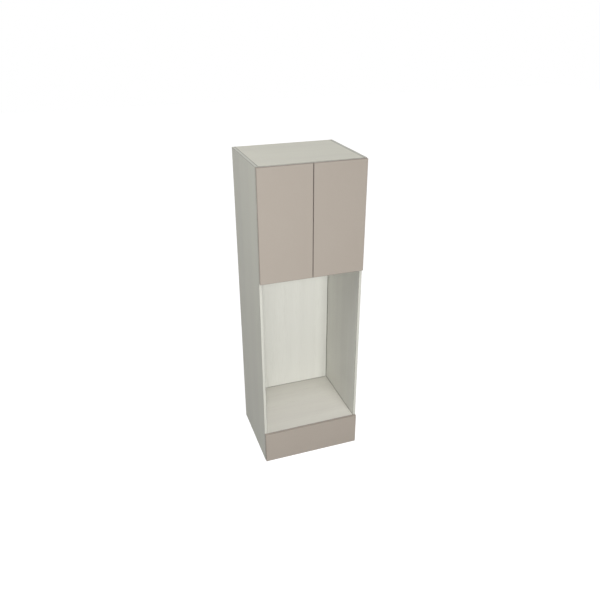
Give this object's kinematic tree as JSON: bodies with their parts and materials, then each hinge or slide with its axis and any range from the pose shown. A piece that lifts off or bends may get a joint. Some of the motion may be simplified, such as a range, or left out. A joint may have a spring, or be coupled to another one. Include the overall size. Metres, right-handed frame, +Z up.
{
  "type": "tall oven housing unit",
  "caption": "Tall kitchen housing with an open appliance niche, a cupboard with double doors on concealed hinges above it and a shallow push-to-open drawer below.",
  "frame": {"origin": "on the floor, in the middle of the closed unit's footprint", "axes": "+Z up, the fronts face -Y, +X to the right seen from the front"},
  "size_m": [0.6, 0.5034, 1.838],
  "materials": {
    "melamine": "melamine-faced particleboard, pale greige wood print, matt",
    "front_foil": "smooth matt taupe foil on board",
    "back_foil": "thin board faced with pale greige wood print",
    "zinc_steel": "bright zinc-plated rolled steel",
    "nickel_steel": "nickel-plated pressed steel",
    "grey_plastic": "moulded mid-grey plastic"
  },
  "bodies": {
    "carcass": {"left_side_panel": "melamine", "right_side_panel": "melamine", "base_panel": "melamine", "top_panel": "melamine", "oven_shelf": "melamine", "cupboard_floor": "melamine", "back_panel": "back_foil", "rear_low_rail": "melamine", "rear_mid_rail": "melamine", "rear_top_rail": "melamine", "adjustable_shelf": "melamine", "left_front_shelf_pin": "nickel_steel", "left_rear_shelf_pin": "nickel_steel", "right_front_shelf_pin": "nickel_steel", "right_rear_shelf_pin": "nickel_steel", "left_lower_hinge_plate": "nickel_steel", "left_lower_hinge_arm": "nickel_steel", "left_upper_hinge_plate": "nickel_steel", "left_upper_hinge_arm": "nickel_steel", "right_lower_hinge_plate": "nickel_steel", "right_lower_hinge_arm": "nickel_steel", "right_upper_hinge_plate": "nickel_steel", "right_upper_hinge_arm": "nickel_steel", "left_runner_cabinet_member": "zinc_steel", "right_runner_cabinet_member": "zinc_steel", "left_door_latch_housing": "grey_plastic", "right_door_latch_housing": "grey_plastic", "drawer_latch_housing": "grey_plastic"},
    "left_outer_links": {"left_lower_hinge_outer_link": "nickel_steel", "left_upper_hinge_outer_link": "nickel_steel"},
    "left_inner_links": {"left_lower_hinge_inner_link": "nickel_steel", "left_upper_hinge_inner_link": "nickel_steel"},
    "left_door_leaf": {"left_door": "front_foil", "left_lower_hinge_cup": "nickel_steel", "left_upper_hinge_cup": "nickel_steel"},
    "left_door_plunger": {"left_door_latch_plunger": "grey_plastic"},
    "right_outer_links": {"right_lower_hinge_outer_link": "nickel_steel", "right_upper_hinge_outer_link": "nickel_steel"},
    "right_inner_links": {"right_lower_hinge_inner_link": "nickel_steel", "right_upper_hinge_inner_link": "nickel_steel"},
    "right_door_leaf": {"right_door": "front_foil", "right_lower_hinge_cup": "nickel_steel", "right_upper_hinge_cup": "nickel_steel"},
    "right_door_plunger": {"right_door_latch_plunger": "grey_plastic"},
    "drawer": {"drawer_front": "front_foil", "drawer_left_side": "melamine", "drawer_right_side": "melamine", "drawer_inner_front": "melamine", "drawer_back": "melamine", "drawer_bottom": "back_foil", "left_runner_drawer_member": "zinc_steel", "right_runner_drawer_member": "zinc_steel"},
    "runner_middles": {"left_runner_middle_member": "zinc_steel", "right_runner_middle_member": "zinc_steel"},
    "outer_cages": {"left_runner_outer_cage": "nickel_steel", "right_runner_outer_cage": "nickel_steel"},
    "inner_cages": {"left_runner_inner_cage": "nickel_steel", "right_runner_inner_cage": "nickel_steel"},
    "drawer_plunger": {"drawer_latch_plunger": "grey_plastic"}
  },
  "joints": [
    {"name": "left_outer_link_turn", "type": "hinge", "parent": "carcass", "child": "left_outer_links", "pos_m": [-0.26575, -0.224, 1.5], "axis": [0, 0, -1], "range_deg": [-33.78, 0]},
    {"name": "left_door_swing", "type": "hinge", "parent": "left_outer_links", "child": "left_door_leaf", "pos_m": [-0.29, -0.23825, 1.5], "axis": [0, 0, -1], "range_deg": [0, 138.28]},
    {"name": "left_inner_link_turn", "type": "hinge", "parent": "carcass", "child": "left_inner_links", "pos_m": [-0.26275, -0.23125, 1.5], "axis": [0, 0, -1], "range_deg": [-16.9, 0]},
    {"name": "left_plunger_slide", "type": "slide", "parent": "carcass", "child": "left_door_plunger", "axis": [0, -1, 0], "range_m": [0, 0.0202]},
    {"name": "right_outer_link_turn", "type": "hinge", "parent": "carcass", "child": "right_outer_links", "pos_m": [0.26575, -0.224, 1.5], "axis": [0, 0, 1], "range_deg": [-33.78, 0]},
    {"name": "right_door_swing", "type": "hinge", "parent": "right_outer_links", "child": "right_door_leaf", "pos_m": [0.29, -0.23825, 1.5], "axis": [0, 0, 1], "range_deg": [0, 138.28]},
    {"name": "right_inner_link_turn", "type": "hinge", "parent": "carcass", "child": "right_inner_links", "pos_m": [0.26275, -0.23125, 1.5], "axis": [0, 0, 1], "range_deg": [-16.9, 0]},
    {"name": "right_plunger_slide", "type": "slide", "parent": "carcass", "child": "right_door_plunger", "axis": [0, -1, 0], "range_m": [0, 0.0202]},
    {"name": "drawer_slide", "type": "slide", "parent": "carcass", "child": "drawer", "axis": [0, -1, 0], "range_m": [0, 0.43]},
    {"name": "runner_middle_slide", "type": "slide", "parent": "carcass", "child": "runner_middles", "axis": [0, -1, 0], "range_m": [0, 0.2155]},
    {"name": "outer_cage_slide", "type": "slide", "parent": "carcass", "child": "outer_cages", "axis": [0, -1, 0], "range_m": [0, 0.108]},
    {"name": "inner_cage_slide", "type": "slide", "parent": "carcass", "child": "inner_cages", "axis": [0, -1, 0], "range_m": [0, 0.323]},
    {"name": "drawer_plunger_slide", "type": "slide", "parent": "carcass", "child": "drawer_plunger", "axis": [0, -1, 0], "range_m": [0, 0.0202]}
  ],
  "couplings": [
    {"joint": "left_outer_link_turn", "follows": "left_door_swing", "ratio": -0.2407},
    {"joint": "left_inner_link_turn", "follows": "left_door_swing", "ratio": -0.11859},
    {"joint": "left_plunger_slide", "follows": "left_door_swing", "m_per_rad": 0.008287},
    {"joint": "right_outer_link_turn", "follows": "right_door_swing", "ratio": -0.2407},
    {"joint": "right_inner_link_turn", "follows": "right_door_swing", "ratio": -0.11859},
    {"joint": "right_plunger_slide", "follows": "right_door_swing", "m_per_rad": 0.008287},
    {"joint": "runner_middle_slide", "follows": "drawer_slide", "ratio": 0.5},
    {"joint": "outer_cage_slide", "follows": "drawer_slide", "ratio": 0.25},
    {"joint": "inner_cage_slide", "follows": "drawer_slide", "ratio": 0.75},
    {"joint": "drawer_plunger_slide", "follows": "drawer_slide", "ratio": 0.046512}
  ]
}
